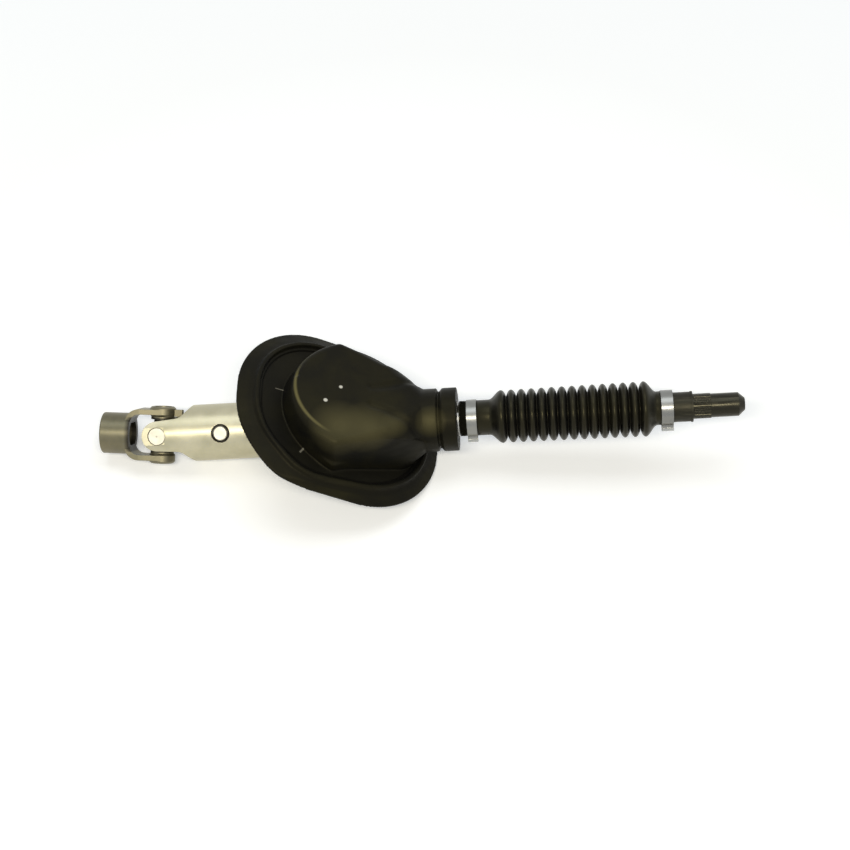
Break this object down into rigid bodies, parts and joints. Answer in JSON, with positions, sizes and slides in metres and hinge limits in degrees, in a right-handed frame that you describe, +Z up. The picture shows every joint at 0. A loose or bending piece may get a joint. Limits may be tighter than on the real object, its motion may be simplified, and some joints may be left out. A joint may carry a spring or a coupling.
{
  "type": "intermediate steering shaft",
  "caption": "Steering shaft with a universal joint, a rubber isolator, a bulkhead seal, a sliding section under a bellows and a splined end.",
  "frame": {"origin": "centre of the object's footprint, on the surface that it lies on", "axes": "+X along the shaft towards the steering gear, +Z up, as it lies at rest"},
  "size_m": [0.5334, 0.1546, 0.092],
  "materials": {
    "yoke_steel": "pale yellow zinc passivated forging, satin",
    "tube_steel": "pale yellow zinc passivated sheet, satin",
    "joint_steel": "ground bearing steel",
    "cup_steel": "drawn steel, satin",
    "pin_steel": "bright turned steel",
    "small_rubber": "black moulded rubber, matt",
    "black_shaft": "black oxide, oiled",
    "black_bush": "black oxide, oiled",
    "nylon": "natural nylon",
    "bellows_rubber": "black moulded rubber, slightly glossy",
    "seal_rubber": "black moulded rubber, worn satin",
    "clamp_steel": "zinc plated band, satin"
  },
  "bodies": {
    "seal": {"dash_seal": "seal_rubber", "seal_bearing": "nylon"},
    "shaft": {"shaft_bar": "joint_steel", "slider_tube": "black_shaft", "bearing_rings": "joint_steel", "isolator_inner_sleeve": "cup_steel", "isolator_rubber": "small_rubber", "safety_pin": "pin_steel", "bellows": "bellows_rubber", "left_clamp": "clamp_steel"},
    "tube_yoke": {"tube_yoke": "tube_steel", "isolator_outer_sleeve": "cup_steel", "tube_cups": "cup_steel", "tube_needles": "joint_steel"},
    "cross": {"cross_spider": "joint_steel", "trunnion_seals": "small_rubber"},
    "upper_yoke": {"upper_yoke": "yoke_steel", "upper_cups": "cup_steel", "upper_needles": "joint_steel"},
    "lower_shaft": {"lower_shaft": "black_shaft", "spline_sleeve": "nylon", "lower_bush": "black_bush", "right_clamp": "clamp_steel"}
  },
  "joints": [
    {"name": "shaft_turn", "type": "hinge", "parent": "seal", "child": "shaft", "pos_m": [-0.21559, 0, 0.02364], "axis": [0.9954, 0, 0.0953], "continuous": true},
    {"name": "isolator_twist", "type": "hinge", "parent": "shaft", "child": "tube_yoke", "pos_m": [-0.21559, 0, 0.02364], "axis": [0.9954, 0, 0.0953], "range_deg": [-4.5, 4.5], "stiffness_Nm_per_rad": 60},
    {"name": "tube_trunnion", "type": "hinge", "parent": "tube_yoke", "child": "cross", "pos_m": [-0.21559, 0, 0.02364], "axis": [-0.073, -0.6428, 0.7626], "range_deg": [-25, 35]},
    {"name": "upper_trunnion", "type": "hinge", "parent": "cross", "child": "upper_yoke", "pos_m": [-0.21559, 0, 0.02364], "axis": [0.0292, 0.7629, 0.6459], "range_deg": [-30, 30]},
    {"name": "length_slide", "type": "slide", "parent": "shaft", "child": "lower_shaft", "axis": [0.9954, 0, 0.0953], "range_m": [-0.035, 0.025], "deforming": ["bellows"]}
  ]
}
